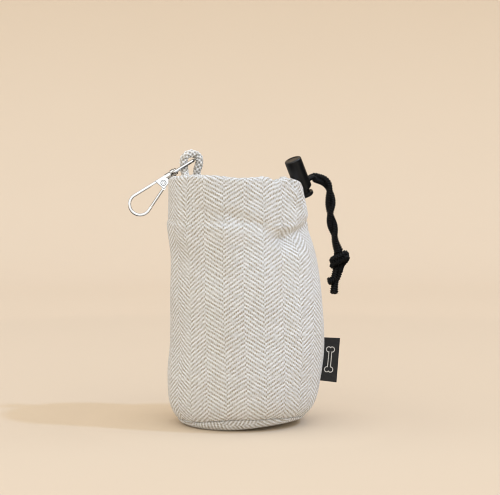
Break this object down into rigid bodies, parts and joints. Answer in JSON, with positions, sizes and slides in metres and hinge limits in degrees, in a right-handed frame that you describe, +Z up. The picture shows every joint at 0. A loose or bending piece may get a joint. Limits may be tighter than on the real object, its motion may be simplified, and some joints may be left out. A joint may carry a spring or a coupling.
{
  "type": "treat pouch",
  "caption": "Cylindrical herringbone cloth drawstring pouch for dog treats, with a swivel snap hook on a cloth loop, a spring cord lock and a side label.",
  "frame": {"origin": "middle of the base, on the surface that the pouch stands on", "axes": "+Z up through the mouth, +X towards the side label and the cord lock, -Y towards the front"},
  "size_m": [0.1478, 0.1, 0.1784],
  "materials": {
    "herringbone_cloth": "herringbone weave of off-white and taupe yarns",
    "lining_cloth": "plain cotton",
    "interlining": "stiff canvas",
    "base_board": "grey board",
    "thread": "spun polyester thread",
    "woven_label": "black damask label with a plain bone outline",
    "drawstring_cord": "black braided cord",
    "nickel": "bright nickel plate",
    "spring_steel": "drawn wire",
    "black_plastic": "moulded acetal"
  },
  "bodies": {
    "pouch": {"outer_panel": "herringbone_cloth", "hem_facing": "herringbone_cloth", "outer_base": "herringbone_cloth", "clip_loop": "herringbone_cloth", "wall_interlining": "interlining", "base_board": "base_board", "lining_wall": "lining_cloth", "lining_base": "lining_cloth", "channel_stitching": "thread", "base_seam_stitching": "thread", "loop_bartacks": "thread", "side_label": "woven_label", "eyelet": "nickel", "eyelet_washer": "nickel", "drawstring_ring": "drawstring_cord", "drawstring_strand_front": "drawstring_cord", "drawstring_strand_rear": "drawstring_cord", "drawstring_knot": "drawstring_cord", "drawstring_end_long": "drawstring_cord", "drawstring_end_short": "drawstring_cord"},
    "eye": {"swivel_eye": "nickel"},
    "hook": {"hook_body": "nickel", "gate_rivet": "nickel", "gate_spring": "spring_steel"},
    "gate": {"gate_lever": "nickel"},
    "lock": {"lock_housing": "black_plastic", "lock_spring": "spring_steel"},
    "button": {"lock_plunger": "black_plastic"}
  },
  "joints": [
    {"name": "clip_swing", "type": "hinge", "parent": "pouch", "child": "eye", "pos_m": [-0.0342, 0.0291, 0.1718], "axis": [0, 1, 0], "range_deg": [0, 200]},
    {"name": "clip_swivel", "type": "hinge", "parent": "eye", "child": "hook", "pos_m": [-0.0342, 0.0291, 0.1718], "axis": [-0.8526, 0, -0.5225], "continuous": true},
    {"name": "gate_press", "type": "hinge", "parent": "hook", "child": "gate", "pos_m": [-0.05423, 0.0291, 0.15683], "axis": [0, 1, 0], "range_deg": [0, 20], "stiffness_Nm_per_rad": 0.02, "springref_deg": -11.46, "deforming": ["gate_spring"]},
    {"name": "lock_slide", "type": "slide", "parent": "pouch", "child": "lock", "axis": [0.7394, 0.5177, 0.4305], "range_m": [0, 0.0022]},
    {"name": "button_press", "type": "slide", "parent": "lock", "child": "button", "axis": [-0.3527, -0.2469, 0.9026], "range_m": [0, 0.003], "stiffness_N_per_m": 400, "springref_m": -0.001, "deforming": ["lock_spring"]}
  ]
}
